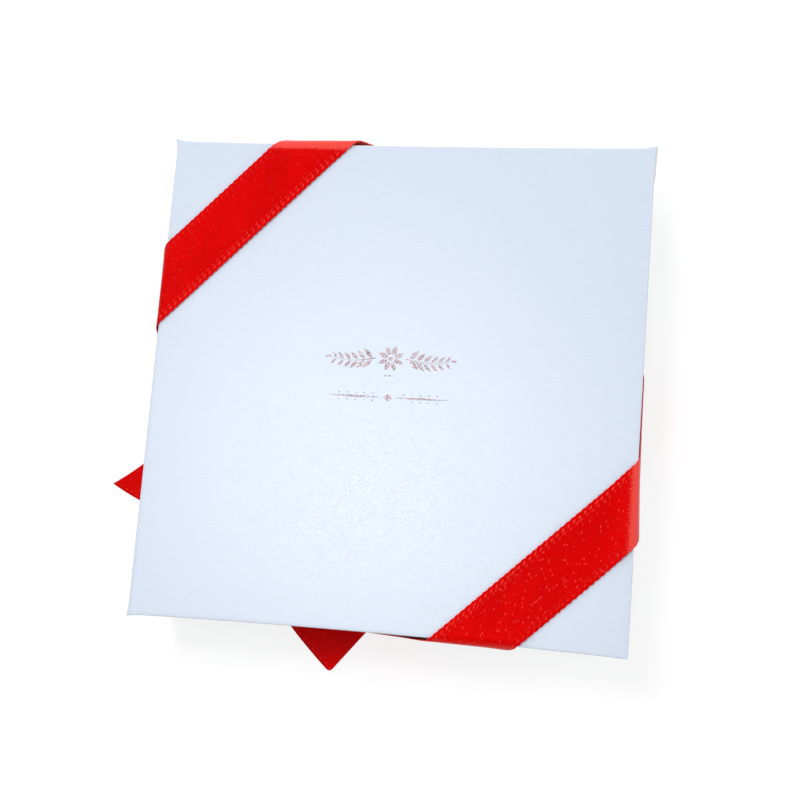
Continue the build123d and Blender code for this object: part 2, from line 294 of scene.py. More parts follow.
def place_in(tree, *scale):
    """The piece's own coordinates, in millimetres or by another scale."""
    return stretched(node(tree, "TexCoord", {}, "Object"), *(scale or (1000.0, 1000.0, 1000.0)))


def attribute(tree, name, output="Fac"):
    return node(tree, "Attribute", {}, output, attribute_name=name)


def grain(vector, scale=1.0, detail=4.0, roughness=0.6):
    inputs = {"Vector": vector, "Scale": scale, "Detail": detail, "Roughness": roughness}
    return node(vector.tree, "TexNoise", inputs)


def bump(height, distance, strength):
    return node(height.tree, "Bump", {"Height": height, "Distance": distance, "Strength": strength})


def finished(material, base, roughness, normal, **constants):
    """The material with its shader, whose other inputs are numbers or colours that are the same all over."""
    inputs = {"Base Color": base, "Roughness": roughness, "Normal": normal}
    inputs.update({key.replace("_", " "): value for key, value in constants.items()})
    surface = node(material.node_tree, "BsdfPrincipled", inputs)
    node(material.node_tree, "OutputMaterial", {"Surface": surface})
    return material


# Materials
def board_material(name, light, dark, edge_highlight_tone, roughness, specular):
    """Pearl-coated folding board: fine streaks, sparkle of the coating, painted highlight along its folds."""
    material, tree = shader(name)
    streaks = grain(place_in(tree, 300.0, 2600.0, 1500.0), 1.0, 3.0, 0.55)
    fibres = grain(place_in(tree), 2.6, 5.0, 0.7)
    clouds = grain(place_in(tree, 18.0, 26.0, 26.0), 1.0, 3.0)
    tone = (streaks * 0.5 + fibres * 0.5).ramp(0.36, 0.64).mix(dark, light)
    tone = clouds.ramp(0.35, 0.7, 0.0, 0.35).mix(tone, light)
    # Painted highlight: the colour turns paler along the folded edges and the rim
    edge_highlight = attribute(tree, "fold") * fibres.ramp(0.45, 0.6, 0.25, 0.9)
    normal = bump(streaks * 0.6 + fibres, 0.00003, 0.5)
    gloss = fibres.ramp(0.3, 0.7, roughness - 0.06, roughness + 0.08)
    return finished(material, edge_highlight.mix(tone, edge_highlight_tone), gloss, normal, Specular_IOR_Level=specular)


def satin_material():
    """Red satin ribbon: fine lengthwise floats, a woven border with two rows of stitches, pale specks that
    are painted glints, and a painted highlight where the ribbon runs over the folds of the lid's edge."""
    material, tree = shader("ribbon_satin")
    flow = attribute(tree, "flow", "Vector")
    along, across = (node(tree, "SeparateXYZ", {0: flow}, axis) for axis in (0, 1))
    threads = grain(stretched(flow, 0.9, 9.0, 1.0), 1.0, 3.0)
    cloth = grain(stretched(flow, 3.2, 3.2, 1.0))
    clouds = grain(stretched(flow, 0.07, 0.1, 1.0), 1.0, 2.0)
    tone = clouds.ramp(0.35, 0.65).mix((0.66, 0.0007, 0.0008), (0.73, 0.0008, 0.0009))
    weave = threads.ramp(0.35, 0.7) * cloth.ramp(0.35, 0.65)
    tone = (weave * 0.95).mix(tone, (0.42, 0.0006, 0.0008))
    # Painted glints: pale specks, most of them on the run over the front right corner
    cells = {"Vector": flow, "Scale": 1.2, "Randomness": 1.0}
    near = node(tree, "TexVoronoi", cells, "Distance").ramp(0.13, 0.32, 1.0, 0.0)
    chosen = node(tree, "SeparateColor", {0: node(tree, "TexVoronoi", cells, "Color")})
    glint_share = abs(along - 180.0).ramp(60.0, 130.0, 0.62, 0.2)
    tone = (near * chosen.ramp(0.62, 0.7) * glint_share).mix(tone, (0.95, 0.1, 0.083))
    height = threads * 0.5
    # Two rows of stitches, which show least on the side of the box's corner
    side = ribbon_width / 2 - abs(across)
    shown = cloth.ramp(0.36, 0.6, 0.15, 1.0) * (across + clouds * 12.0).ramp(2.0, 10.0, 0.35, 1.0)
    for inset, shift, length, share in ((1.0, 0.0, 0.3, 0.85), (1.9, 0.5, 0.24, 0.45)):
        phase = abs((along / stitch_pitch + shift).math("FRACT") - 0.5)
        dash = phase.ramp(0.12, 0.24, 1.0, 0.0) * abs(side - inset).ramp(length * 0.6, length * 1.3, 1.0, 0.0)
        tone = (dash * shown * share).mix(tone, (0.95, 0.075, 0.06))
        height = height + dash * 1.6
    normal = bump(height + cloth * 0.5, 0.00005, 0.5)
    gloss = threads.ramp(0.3, 0.7, 0.3, 0.4)
    # Painted highlight: the colour turns pale over the folds of the lid's edge, most at the back and right
    taut = (attribute(tree, "taut") + (cloth - 0.5) * 2.4).ramp(0.4, 0.7)
    tone = (taut * 0.85).mix(tone, (0.88, 0.088, 0.074))
    return finished(material, tone, gloss, normal, Specular_IOR_Level=0.6,
                    Specular_Tint=rgba((0.5, 0.012, 0.012)))


def paper_material(name, light, dark, roughness, scale, depth, specular=0.35, cells=0.0):
    """Plain or embossed paper: fibres, soft creases and, with cells, a fine pressed pattern."""
    material, tree = shader(name)
    fibres = grain(place_in(tree), scale, 6.0, 0.7)
    creases = grain(place_in(tree, 160.0, 160.0, 160.0), 1.0, 4.0, 0.65)
    tone = fibres.ramp(0.35, 0.65).mix(dark, light)
    tone = creases.ramp(0.5, 0.75, 0.0, 0.4).mix(tone, dark)
    height = fibres * 0.4 + creases
    if cells:
        pressed = {"Vector": place_in(tree), "Scale": cells, "Randomness": 0.15}
        height = height + node(tree, "TexVoronoi", pressed, "Distance").ramp(0.1, 0.5, 0.0, 1.6)
    gloss = creases.ramp(0.3, 0.7, roughness, roughness + 0.12)
    return finished(material, tone, gloss, bump(height, depth, 0.6), Specular_IOR_Level=specular)


def chocolate_material(name, light, dark, roughness, dusty=0.0, glow=0.0):
    """Moulded chocolate: a tempered gloss that varies, with fine swirls and, if dusty, cocoa powder."""
    material, tree = shader(name)
    swirls = grain(place_in(tree, 260.0, 260.0, 420.0))
    fine = grain(place_in(tree), 1.9, 6.0, 0.7)
    tone = swirls.ramp(0.32, 0.68).mix(dark, light)
    if dusty:
        tone = (fine.ramp(0.38, 0.6, 0.25, 1.0) * dusty).mix(tone, (0.2, 0.085, 0.04))
    normal = bump(swirls * 0.4 + fine * (1.0 + dusty), 0.00012 if dusty else 0.00003, 0.6)
    gloss = swirls.ramp(0.3, 0.7, roughness, min(1.0, roughness + 0.14))
    return finished(material, tone, gloss, normal, Specular_IOR_Level=0.2 if dusty else 0.5,
                    Subsurface_Weight=glow, Subsurface_Scale=0.0015)


def foil_material():
    """Thin hot-stamped foil, silver with a touch of rose. Its dark grey patches and pale silver specks are
    painted reflection and sparkle.
    """
    material, tree = shader("foil")
    patches = grain(place_in(tree, 900.0, 2400.0, 900.0), 1.0, 4.0, 0.7)
    specks = grain(place_in(tree, 2600.0, 4200.0, 2600.0), 1.0, 3.0)
    # Painted reflection: dark grey patches between the rose ones, and pale silver specks as painted sparkle
    tone = patches.ramp(0.4, 0.6).mix((0.075, 0.08, 0.085), (0.42, 0.27, 0.29))
    tone = specks.ramp(0.5, 0.62).mix(tone, (0.5, 0.49, 0.52))
    gloss = patches.ramp(0.3, 0.7, 0.4, 0.6)
    return finished(material, tone, gloss, bump(patches, 0.00004, 0.6), Metallic=0.85)


pearl = board_material("lid_pearl_board", (0.612, 0.688, 0.808), (0.577, 0.653, 0.773),
                       (0.73, 0.79, 0.88), 0.35, 0.7)
tray_pearl = board_material("tray_pearl_board", (0.66, 0.75, 0.86), (0.62, 0.71, 0.82),
                            (0.78, 0.84, 0.91), 0.42, 0.5)
satin = satin_material()
foil = foil_material()
liner_paper = paper_material("liner_glassine", (0.86, 0.83, 0.76), (0.78, 0.74, 0.66), 0.42, 1.4, 0.00006)
divider_card = paper_material("divider_card", (0.86, 0.86, 0.85), (0.8, 0.79, 0.77), 0.62, 3.0, 0.00003)
cup_paper = paper_material("cup_paper", (0.13, 0.052, 0.022), (0.085, 0.032, 0.014), 0.4, 2.6, 0.00006, 0.45)
pad_paper = paper_material("pad_paper", (0.88, 0.87, 0.84), (0.82, 0.8, 0.77), 0.5, 2.2, 0.00008, 0.4, 0.75)
dark = chocolate_material("dark_chocolate", (0.045, 0.0155, 0.0085), (0.03, 0.0105, 0.006), 0.24)
milk = chocolate_material("milk_chocolate", (0.15, 0.052, 0.02), (0.115, 0.038, 0.0145), 0.28)
white = chocolate_material("white_chocolate", (0.82, 0.69, 0.42), (0.76, 0.61, 0.35), 0.34, glow=0.15)
cocoa = chocolate_material("cocoa_chocolate", (0.075, 0.028, 0.014), (0.045, 0.017, 0.009), 0.75, dusty=0.85)
nut = chocolate_material("roast_hazelnut", (0.46, 0.25, 0.1), (0.3, 0.13, 0.045), 0.5)


# Camera, which stands where the photograph was taken from
camera_data = bpy.data.cameras.new("camera")
camera_data.sensor_width = 36.0
camera_data.lens = 57.6
camera_data.clip_start = 0.01
camera = added("camera", camera_data)
camera.location = (0.06772, -0.05024, 0.359)
camera.rotation_euler = [radians(angle) for angle in (8.628, 10.335, 4.636)]
bpy.context.scene.camera = camera
bpy.context.scene.view_settings.view_transform = "Standard"


# Floor and world
def seen(tree):
    """1 for the rays that show what is behind the box, straight or by way of gloss or glass."""
    straight, glossy, passed = (node(tree, "LightPath", {}, f"Is {kind} Ray")
                                for kind in ("Camera", "Glossy", "Transmission"))
    return straight.math("MAXIMUM", glossy.math("MAXIMUM", passed))


def floor_shader():
    """White where it is seen, a little less near the box, and a matte part that keeps the box's shadow."""
    material, tree = shader("floor_white")
    away = node(tree, "VectorMath", {0: node(tree, "TexCoord", {}, "Object")}, "Value", operation="LENGTH")
    strength = seen(tree) * away.ramp(0.12, 0.5, 0.79, 1.0)
    glow = node(tree, "Emission", {"Color": rgba((1, 1, 1)), "Strength": strength})
    matte = node(tree, "BsdfDiffuse", {"Color": rgba((0.26, 0.26, 0.26))})
    node(tree, "OutputMaterial", {"Surface": node(tree, "AddShader", {0: glow, 1: matte})})
    return material


floor_reach = 3000.0
floor_mesh = bpy.data.meshes.new("floor")
floor_mesh.from_pydata([(x * floor_reach * MM, y * floor_reach * MM, rest_z * MM)
                        for x, y in ((-1, -1), (1, -1), (1, 1), (-1, 1))], [], [(0, 1, 2, 3)])
floor_mesh.materials.append(floor_shader())
added("floor", floor_mesh)

world = bpy.data.worlds.new("world")
bpy.context.scene.world = world
world_tree = cleared(world)
world_light = 0.34
brightness = seen(world_tree).ramp(0.0, 1.0, world_light, 1.0)
sky = node(world_tree, "Background", {"Color": rgba((1, 1, 1)), "Strength": brightness})
node(world_tree, "OutputWorld", {"Surface": sky})


# Lamps
def lamp(name, place, power, width, height, glossy=False, diffuse=True):
    """A soft lamp that looks at the box. One kind of its light may be kept off, gloss or the rest."""
    data = bpy.data.lights.new(name, "AREA")
    data.shape = "RECTANGLE"
    data.size = width
    data.size_y = height
    data.energy = power
    light = added(name, data)
    light.location = place
    light.rotation_euler = (Vector((0.0, 0.0, 0.01)) - Vector(place)).to_track_quat("-Z", "Y").to_euler()
    light.visible_glossy = glossy
    light.visible_diffuse = diffuse


lamp("key_gloss", (-0.225, 0.04, 1.0), 3.9, 0.33, 0.33, glossy=True, diffuse=False)
lamp("key", (-0.2, 0.27, 1.0), 4.25, 0.24, 0.24)
lamp("window_back", (-0.22, 0.77, 0.36), 3.6, 0.2, 0.55)
lamp("window_right", (0.77, 0.02, 0.36), 2.4, 0.2, 0.55)
lamp("window_front", (0.12, -0.8, 0.075), 1.5, 0.5, 0.12)


# Lid and tray
def plan_ring(half, ears, z, count=100):
    """One ring round the box: its bowed front and back sides, and its ears at the corners."""
    share = 2 * np.arange(count) / count - 1
    # Steps crowd towards the corners, where the ears are
    share = np.sin(share * pi / 2) * 0.55 + share * 0.45
    found = []
    for side, dip in enumerate(wall_dips):
        ear = np.where(share < 0, ears[side], ears[(side + 1) % 4])
        x = share * (half + ear)
        near = np.maximum(0.0, 1 - (half + ear - abs(x)) / ear_length)
        y = dip * (1 - np.minimum(1.0, abs(x) / half) ** 2) - half - ear * near**ear_power
        found.append(columns(*rotated(x, y, side * pi / 2), z))
    return np.vstack(found)


def rounded_edge(radius, *angles):
    """Inset and depth of the points of a rounded edge."""
    return [(radius - radius * cos(a), radius - radius * sin(a)) for a in np.radians(range(*angles))]


def cover(name, half, low, high, wall, layer, fold, ears, sag, material, slot, node_name, body):
    """A board lid or tray with turned-in walls. Low is its open rim and high its panel, or for a tray the
    other way up. The layer is what the wall's inner face stands off the panel by."""
    way = 1 if high > low else -1
    lap = wall / 2
    lap_end = low + way * lap * 1.4
    outer = [(inset, low + way * depth) for inset, depth in rounded_edge(lap, 90, -1, -18)]
    outer += [(0.0, z) for z in np.linspace(lap_end, high - way * (fold + 0.3), 9)]
    outer += [(inset, high - way * depth) for inset, depth in rounded_edge(fold, 0, 91, 15)]
    inner = [(wall - inset, low + way * depth) for inset, depth in rounded_edge(lap, 72, -1, -18)]
    inner += [(wall, z) for z in np.linspace(lap_end, high - way * (board + 1.1), 6)]
    # The turned-in layer ends just short of the panel
    inner += [(inset, high - way * (board + depth))
              for inset, depth in ((wall - 0.12, 0.95), (wall - layer + 0.08, 0.95), (wall - layer, 0.85),
                                   (wall - layer, 0.05))]

    def panel(border, level, shares):
        """Rings from a wall's last ring to near the panel's middle, which sinks a little."""
        return [border * (share, share, 0) + up * (level - sag * (1 - share**2) ** 2) for share in shares]

    rings, folds = [], []
    for inset, z in outer:
        # The ears are sharpest at the panel's corners
        share = 0.55 + 0.45 * abs(z - low) / abs(high - low)
        rings.append(plan_ring(half - inset, [ear * share for ear in ears], z))
        edge = max(0.0, 1 - abs(z - high) / 0.5) if inset < fold * 0.9 else 0.35
        rim = max(0.0, 1 - abs(z - low) / 0.6)
        folds.append(max(edge, rim) * 0.9)
    rings += panel(rings[-1], high, (0.985, 0.95, 0.9, 0.82, 0.7, 0.55, 0.4, 0.25, 0.12))
    inner_rings = [plan_ring(half - inset, (0, 0, 0, 0), z) for inset, z in inner]
    under_panel = high - way * board
    inner_rings += panel(inner_rings[-1], under_panel, (0.995, 0.9, 0.7, 0.45, 0.2))
    points, faces = skin([up * (high - sag)] + rings[::-1] + inner_rings + [up * (under_panel - sag)])
    count = len(rings[0])
    # How much painted edge highlight each point gets, most at the panel's folded edge and the rim
    edge_highlight = np.zeros(len(points))
    last = 1 + len(rings) * count
    edge_highlight[last - len(folds) * count:last] = np.repeat(folds[::-1], count)
    make(name, points, faces, material, body, slot, (node_name,), sharp=50, values={"fold": edge_highlight})


cover("lid_cover", lid_half, rim_z, box_height, lid_wall, board, lid_fold, lid_ears, panel_sag,
      pearl, "lid_board", "lid", "lid")
cover("tray_shell", tray_half, tray_top, 0.0, tray_wall, tray_wall / 2, tray_fold, (0, 0, 0, 0), 0.0,
      tray_pearl, "tray_board", "base_tray", "base")


# Ribbon round the box
# Each wall's outward and its along direction, and how far along it the ribbon crosses the lid's edge
walls = {
    "left": (np.array((-1, 0, 0)), np.array((0, 1, 0)), 24.2),
    "front": (np.array((0, -1, 0)), np.array((1, 0, 0)), 26.2),
    "right": (np.array((1, 0, 0)), np.array((0, -1, 0)), 27.7),
    "back": (np.array((0, 1, 0)), np.array((-1, 0, 0)), 25.7),
}
# How far in from the fold the painted highlight reaches, how softly it ends and how strong it is
fold_highlight_bands = {"left": (0.5, 0.5, 0.0), "front": (1.5, 1.4, 0.45), "right": (2.5, 2.6, 1.0),
               "back": (3.0, 1.6, 1.0)}
# For the border near the lid's corner and for the other one: radius of the fold at the lid's edge, how far
# out it stands, its rise before it turns, and where it then lies along the wall
fold_shapes = {
    "left": ((1.9, 67.35, 0.2, 66.8), (0.8, 66.95, 0.05, 66.6)),
    "front": ((2.5, 66.85, 0.4, 66.55), (0.8, 66.35, 0.05, 66.2)),
    "right": ((3.0, 67.55, 0.45, 66.9), (1.0, 66.72, 0.08, 66.58)),
    "back": ((3.0, 67.5, 0.55, 66.9), (1.0, 67.3, 0.15, 66.5)),
}
cross_shares = (0.0, 0.012, 0.035, 0.07, 0.12, 0.19, 0.3, 0.43,
                0.57, 0.7, 0.81, 0.88, 0.93, 0.965, 0.988, 1.0)


def crossing(wall, under):
    """Where the ribbon's middle crosses a wall's foot or its upper edge."""
    outward, along, place = walls[wall]
    return outward * (tray_skin if under else lid_skin) + along * (place - ribbon_drop * under)


def run_between(wall, other, under):
    """For the flat run from one wall to another: how far along the first wall the run is where the flat part
    ends, and half its width, measured along that wall."""
    outward, along, _ = walls[wall]
    start = crossing(wall, under)
    way = crossing(other, under) - start
    out = abs(way @ outward)
    place_there = start @ along + (start @ outward - flat_reach) * (way @ along) / out
    return place_there, ribbon_width / 2 * np.linalg.norm(way) / out


def smooth_line(corners, steps):
    """A Catmull-Rom line through points of a section."""
    corners = np.array(corners)
    padded = np.vstack([2 * corners[0] - corners[1], corners, 2 * corners[-1] - corners[-2]])
    u = np.arange(steps)[:, None] / steps
    found = [0.5 * (2 * b + (c - a) * u + (2 * a - 5 * b + 4 * c - d) * u**2 + (3 * b - a - 3 * c + d) * u**3)
             for a, b, c, d in zip(padded, padded[1:], padded[2:], padded[3:])]
    return np.vstack(found + [corners[-1]])


def wall_section(radius, stand, rise, hug):
    """The ribbon's middle line down a wall, as distance from the box's middle and height: a soft fold at the
    lid's edge, which rises a little before it turns, and another at the tray's foot."""
    turn_h, turn_z = stand - radius, over_middle + rise - radius
    arc = [(turn_h + radius * cos(a), turn_z + radius * sin(a)) for a in np.radians(range(90, -1, -10))]
    return smooth_line([
        (flat_reach, over_middle), (turn_h - 2.2, over_middle + rise * 0.2),
        (turn_h - 1.0, over_middle + rise * 0.75), *arc, ((stand + hug) / 2, 23.6), (hug, 21.0), (hug, 17.0),
        (hug, 12.0), (hug, 7.0), (hug - 0.03, 4.6), (66.5, 3.2), (66.15, 2.3), (65.75, 1.4), (65.45, 0.65),
        (65.1, 0.12), (64.55, -0.2), (63.8, under_middle), (62.0, under_middle), (flat_reach, under_middle),
    ], 8)


def softened(line, reach=3):
    """A line whose bends come on and go off gently."""
    found = line.copy()
    weights = np.hanning(2 * reach + 3)[1:-1]
    weights /= weights.sum()
    for part in (0, 1, 0, 1):
        found[reach:-reach, part] = np.convolve(found[:, part], weights, "valid")
    return found


def wall_rulings(wall, over_other, under_other):
    """The rulings down one wall, from the lid to under the tray."""
    outward, along, _ = walls[wall]
    high, over_half = run_between(wall, over_other, False)
    low, under_half = run_between(wall, under_other, True)
    borders, normals = [], []
    for side, shape in zip((1, -1), fold_shapes[wall]):
        section = softened(resample(wall_section(*shape), 190))
        tangent = tangents(section)
        share = np.linspace(0, 1, len(section))[:, None]
        reach = high + (low - high) * share + side * (over_half + (under_half - over_half) * share)
        borders.append(section[:, :1] * outward + section[:, 1:] * up + reach * along)
        normals.append(tangent[:, :1] * up - tangent[:, 1:] * outward)
    # Painted highlight: how pale the ribbon's colour is made along each ruling over the lid's edge
    inset, softness, strength = fold_highlight_bands[wall]
    middle = sum(borders) / 2
    taut = np.clip((middle @ outward - fold_shapes[wall][0][1] + inset) / softness + 0.5, 0, 1)
    taut *= np.clip((middle @ up - highlight_low) / highlight_rise, 0, 1) * strength
    return np.hstack([*borders, unit(sum(normals)), taut[:, None]])


def band_rulings():
    """Straight lines across the ribbon, one after another round the box. A row is the ends of one on both
    borders, the ribbon's outward direction and how strong the painted highlight over the fold is there."""
    parts = [wall_rulings("left", "back", "front"), wall_rulings("front", "right", "left")[::-1],
             wall_rulings("right", "front", "back"), wall_rulings("back", "left", "right")[::-1]]
    whole = []
    for part, after in zip(parts, parts[1:] + parts[:1]):
        gap = after[0] - part[-1]
        gap[6:] = 0
        steps = int(max(np.linalg.norm(gap[:3]), np.linalg.norm(gap[3:6])) / band_step)
        whole += [part, part[-1] + gap * (np.arange(1, steps) / steps)[:, None]]
    return np.vstack(whole)


def woven(left, right, normals):
    """The columns of the band, with its woven edges: upper points, lower points and flow of each."""
    way = unit(right - left)
    # The stitches meet where the ribbon closes
    left_run, right_run = (run[:-1] * (stitch_pitch * round(run[-1] / stitch_pitch) / run[-1])
                           for run in (running(left, True), running(right, True)))
    found = []
    for share in cross_shares:
        run = left_run * (1 - share) + right_run * share
        across = (share - 0.5) * ribbon_width
        base = left * (1 - share) + right * share
        side = ribbon_width / 2 - abs(across)
        half = ribbon_sheet / 2 * (1 + 0.22 * exp(-((side - 0.9) / 0.7) ** 2))
        if share in (0.0, 1.0):
            half *= 0.8
            scallop = 0.09 * np.cos(2 * pi * run / stitch_pitch)
            base = base + way * (scallop * (2 * share - 1))[:, None]
        # The slight wave of a ribbon that lies on board
        wave = np.sin(run / 11.0 + across / 9.0) * 0.5 + np.sin(run / 5.3 - across / 5.0 + 1.0) * 0.3
        raised = 0.04 * (1 + wave) + 0.05 * (abs(across) / (ribbon_width / 2)) ** 4
        found.append((base + normals * (half + raised)[:, None],
                      base + normals * (raised - ribbon_sheet / 2)[:, None], columns(run, across, 0)))
    return found


def ribbon_piece(name, lengthwise, length, held, rests_on, nodes, closed=False, **values):
    """A sheet of ribbon from its columns: upper points, lower points and flow of each."""
    upper, lower, flow = (np.stack(grid, axis=1) for grid in zip(*lengthwise))
    values["flow"] = np.tile(flow.reshape(-1, 3), (2, 1))
    piece = make(name, *sheet_body(upper, lower, closed), satin, "ribbon", "ribbon_satin", nodes,
                 values=values)


rulings = band_rulings()
left, right, normals, taut = np.split(rulings, (3, 6, 9), axis=1)
runs_of_band = ["ribbon_over_back_left", "ribbon_over_front_right", "ribbon_under_front_left",
                "ribbon_under_back_right", "ribbon_wall_left", "ribbon_wall_front", "ribbon_wall_right",
                "ribbon_wall_back"]
# The band carries the painted fold highlight to its material as a value at each point
ribbon_piece("ribbon_band", woven(left, right, normals), running((left + right) / 2, True)[-1], "stretched",
             ["lid_cover", "tray_shell"], runs_of_band, closed=True,
             taut=np.tile(np.repeat(taut, len(cross_shares)), 2))

# Knot, loops and tails under the tray
left_crossing, front_crossing = crossing("left", True), crossing("front", True)
knot_middle = (left_crossing + front_crossing) / 2
run_way = (left_crossing - front_crossing) / np.linalg.norm(left_crossing - front_crossing)
cross_way = np.cross(up, run_way)


def at_knot(along, across, z):
    return knot_middle + columns(along, across, z) @ np.array((run_way, cross_way, up))


def knot_piece():
    """The knot: a short band pulled tight round the ribbon, with the folds of its gathers."""
    length, width, thick = knot_size
    middle_z = knot_top - thick / 2
    angles = turns(72)
    c, s = np.cos(angles), np.sin(angles)
    rings = [at_knot(-length / 2, 0, middle_z)]
    for u in np.arange(-19, 20) / 20:
        along = length / 2 * np.sign(u) * (1 - (1 - abs(u)) ** 1.5)
        swell = (1 - abs(u) ** 5) ** 0.5
        pleat = 0.5 + 0.5 * cos(2 * pi * along / pleat_pitch + 0.6)
        deep = thick / 2 - 0.2 * pleat * (0.6 + 0.4 * c**2)
        across = signed_power(c, 0.6) * (width / 2 - 0.25 - 0.25 * pleat) * (0.72 + 0.28 * swell)
        z = middle_z + signed_power(s, 0.55) * deep * (0.25 + 0.75 * swell)
        rings.append(at_knot(along + 0.5 * np.sin(angles + 0.4) * (1 - abs(u)), across, z))
    points, faces = skin(rings + [at_knot(length / 2, 0, middle_z)])
    away = points - knot_middle
    flow = columns(away @ cross_way * 1.3 + away @ up * 2, away @ run_way * 0.8, 0)
    make("bow_knot_wrap", points, faces, satin, "ribbon", "ribbon_satin", ["bow_knot"], values={"flow": flow})


def loop_piece(name, way, node_name, seed):
    """A flattened loop of the bow: out from the knot, round its end and back, gathered at the knot."""
    start = knot_size[0] / 2 - 0.2
    top_z, low_z = loop_heights
    radius = (top_z - low_z) / 2
    u, a = np.linspace(0, 1, 61), np.radians(range(80, -81, -10))
    straight = start + (loop_reach - radius) * u
    over = columns(straight, top_z + 0.12 * np.sin(u * 5 + seed))
    end = columns(straight[-1] + radius * np.cos(a), (top_z + low_z) / 2 + radius * np.sin(a))
    back = columns(straight, low_z + 0.1 * np.sin(u * 4 + seed + 2))[::-1]
    line = resample(np.vstack([over, end, back]), 150)
    run = running(line)
    out = line[:, 0] - start
    spread = np.minimum(1.0, out / loop_shoulder)
    width = loop_neck + (ribbon_width - loop_neck) * spread * spread * (3 - 2 * spread)
    gathered = (1 - np.minimum(1.0, out / (loop_shoulder * 1.5))) ** 1.3
    tangent = tangents(line)
    normal = tangent[:, :1] * up - tangent[:, 1:] * run_way * way
    found = []
    for v in np.linspace(-1, 1, 25):
        edge = abs(v) == 1.0
        scallop = 0.07 * np.cos(2 * pi * run / stitch_pitch) * edge
        fold = 0.24 * gathered * cos(v * 9.5 + seed)
        end_bow = 0.9 * (1 - v * v) * np.maximum(0.0, out / loop_reach - 0.6)
        point = at_knot(way * (line[:, 0] - 0.35 + end_bow), v * (width / 2 + scallop), line[:, 1])
        half = ribbon_sheet / 2 * (0.5 if edge else 1.0)
        found.append((point + normal * (fold + half)[:, None], point + normal * (fold - half)[:, None],
                      columns(run, v * ribbon_width / 2, 0)))
    ribbon_piece(name, found, run[-1], "folded", ["bow_knot_wrap"], [node_name])


def arc_through(start, tangent, end, shares):
    """Points of the arc that leaves start along tangent and ends at end."""
    chord = end - start
    side = np.array([-tangent[1], tangent[0]])
    radius = chord @ chord / (2 * (chord @ side))
    middle = start + side * radius
    first, last = (atan2(*(point - middle)[::-1]) for point in (start, end))
    angles = first + (last - first) % np.copysign(2 * pi, radius) * shares
    return middle + ring(abs(radius), angles, 0)[:, :2]


def swept(start, tangent, end, shares, reach, end_reach):
    """Points of a curve that leaves start along tangent, stays near it and comes into end across the knot."""
    first, last = start + tangent * reach, end + cross_way[:2] * end_reach
    u = shares[:, None]
    return (1 - u) ** 3 * start + 3 * (1 - u) ** 2 * u * first + 3 * (1 - u) * u * u * last + u**3 * end


def tail_piece(name, way, tip, heading, cut, node_name, curl, bend=None, blunt=0.0):
    """A cut tail: full width from its slanting cut almost to the knot, where its gathers draw it in."""
    back = -np.array([cos(radians(heading)), sin(radians(heading))])
    inner = at_knot(way * 0.2, knot_size[1] / 2 - 0.3, 0)[:2]
    ends = (np.array(tip), back, inner, np.linspace(0, 1, 221))
    border = swept(*ends, *bend) if bend else arc_through(*ends)
    places = running(border)
    length = places[-1]
    tangent = tangents(border)
    side = columns(-tangent[:, 1], tangent[:, 0]) * way
    shares = np.concatenate([[0, 0.012, 0.04, 0.09], np.linspace(0.13, 0.87, 45), [0.91, 0.96, 0.988, 1]])
    u = np.linspace(0, 1, 130)
    found = []
    for share in shares:
        across = share * ribbon_width
        start = across / tan(radians(cut))
        if across < blunt:
            # The cut's tip is worn round
            start += blunt * (1 - sqrt(1 - (1 - across / blunt) ** 2))
        half = ribbon_sheet / 2 * (0.5 if share in (0.0, 1.0) else 1.0)
        run = start + (length - start) * u
        to_knot = length - run
        drawn = np.maximum(0.0, 1 - to_knot / tail_shoulder) ** 1.6
        width = ribbon_width + (tail_neck - ribbon_width) * drawn
        wave = 0.95 * drawn**0.6 * (1 - cos(share * 8 * pi)) * np.clip((1 - to_knot / 7.0) * 1.4, 0, 1)
        level = rest_z + ribbon_sheet / 2 + curl(u, share) + wave
        point = read_at(run, places, border) + read_at(run, places, side) * (width * share)[:, None]
        found.append((columns(*point.T, level + half), columns(*point.T, level - half),
                      columns(run, across - ribbon_width / 2, 0)))
    ribbon_piece(name, found, length, "laid", ["floor"], [node_name])


knot_piece()
loop_piece("bow_loop_left_fold", 1, "bow_loop_left", 0.4)
loop_piece("bow_loop_front_fold", -1, "bow_loop_front", 2.1)
tail_piece("bow_tail_left_end", 1, (-88.0, -29.9), 150.0, 62.5, "bow_tail_left",
           lambda u, v: 0.25 * np.exp(-u * 6) + 0.12 * v)
tail_piece("bow_tail_front_end", -1, (-16.7, -79.15), -41.0, 87.5, "bow_tail_front",
           lambda u, v: 0.2 * np.exp(-u * 6) * (1 - v) + 0.1 * v, bend=(21.0, 13.0), blunt=1.2)


